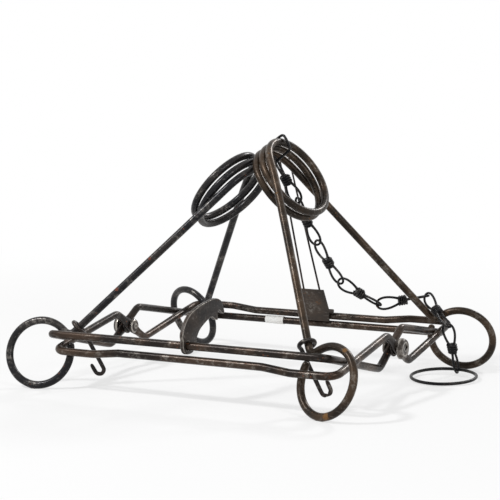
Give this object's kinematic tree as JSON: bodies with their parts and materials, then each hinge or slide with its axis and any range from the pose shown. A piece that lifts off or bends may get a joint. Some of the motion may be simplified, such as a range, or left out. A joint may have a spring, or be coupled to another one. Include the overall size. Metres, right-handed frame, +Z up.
{
  "type": "animal trap",
  "caption": "Body-grip trap lying sprung and flat: hinged rod frames held shut by coiled springs at each side, with a latch dog, wire trigger, safety hooks and a chain with an end ring.",
  "frame": {"origin": "on the ground under the middle of the trap footprint", "axes": "+X to the right along the long bars, +Y to the back, +Z up; the latch dog is on the front bars"},
  "size_m": [0.3756, 0.2854, 0.2253],
  "materials": {
    "jaw_steel": "dark oiled rod, worn bright along the edges",
    "rivet_steel": "worn dark heads, smoother than the rods",
    "left_spring_steel": "near-black oiled wire with rust spots",
    "right_spring_steel": "dark brown patina with yellow rust",
    "dog_steel": "flat dark plate with a bright worn edge",
    "bracket_steel": "dull grey folded sheet",
    "feeler_wire": "thin dark wire",
    "hook_steel": "dark bent wire",
    "chain_steel": "black twisted wire",
    "white_tape": "matt wrapped tape"
  },
  "bodies": {
    "lower_frame": {"lower_jaw": "jaw_steel", "left_pivot_rivet": "rivet_steel", "right_pivot_rivet": "rivet_steel", "left_pivot_washer": "rivet_steel", "right_pivot_washer": "rivet_steel"},
    "upper_frame": {"upper_jaw": "jaw_steel", "tape_band": "white_tape"},
    "dog": {"trigger_dog": "dog_steel"},
    "trigger": {"trigger_bracket": "bracket_steel", "trigger_wire_left": "feeler_wire", "trigger_wire_right": "feeler_wire"},
    "left_spring": {"left_spring": "left_spring_steel"},
    "right_spring": {"right_spring": "right_spring_steel", "chain_anchor_link": "chain_steel", "chain_link_1": "chain_steel", "chain_link_2": "chain_steel", "chain_link_3": "chain_steel", "chain_link_4": "chain_steel", "chain_link_5": "chain_steel", "chain_link_6": "chain_steel"},
    "last_link": {"chain_link_7": "chain_steel"},
    "end_ring": {"chain_end_ring": "chain_steel"},
    "left_hook": {"left_safety_hook": "hook_steel"},
    "right_hook": {"right_safety_hook": "hook_steel"}
  },
  "joints": [
    {"name": "jaw_hinge", "type": "hinge", "parent": "lower_frame", "child": "upper_frame", "pos_m": [-0.00055, -0.00012, 0.0395], "axis": [1, 0, 0], "range_deg": [-0.4, 0.3]},
    {"name": "dog_hinge", "type": "hinge", "parent": "upper_frame", "child": "dog", "pos_m": [0.00105, -0.12712, 0.0505], "axis": [1, 0, 0], "range_deg": [0, 100]},
    {"name": "trigger_hinge", "type": "hinge", "parent": "lower_frame", "child": "trigger", "pos_m": [0.00345, 0.12688, 0.042], "axis": [1, 0, 0], "range_deg": [-45, 8]},
    {"name": "left_spring_swing", "type": "hinge", "parent": "lower_frame", "child": "left_spring", "pos_m": [-0.14815, 0.00228, 0.03131], "axis": [-0.0593, -0.9982, 0], "range_deg": [0, 20]},
    {"name": "right_spring_swing", "type": "hinge", "parent": "lower_frame", "child": "right_spring", "pos_m": [0.14425, -0.00212, 0.03107], "axis": [0.0872, 0.9962, 0], "range_deg": [0, 16]},
    {"name": "left_hook_swivel", "type": "hinge", "parent": "left_spring", "child": "left_hook", "pos_m": [-0.12295, -0.10658, 0.05416], "axis": [0.6278, 0.3677, 0.6861], "range_deg": [-40, 30]},
    {"name": "right_hook_swivel", "type": "hinge", "parent": "right_spring", "child": "right_hook", "pos_m": [0.1057, -0.10634, 0.0568], "axis": [-0.5003, 0.4496, 0.7399], "range_deg": [-45, 35]},
    {"name": "last_link_swing", "type": "hinge", "parent": "right_spring", "child": "last_link", "pos_m": [0.15265, 0.09108, 0.0474], "axis": [0, -1, 0], "range_deg": [-8, 60]},
    {"name": "end_ring_lift", "type": "hinge", "parent": "last_link", "child": "end_ring", "pos_m": [0.15755, 0.10408, 0.0045], "axis": [-1, 0, 0], "range_deg": [0, 16]}
  ]
}
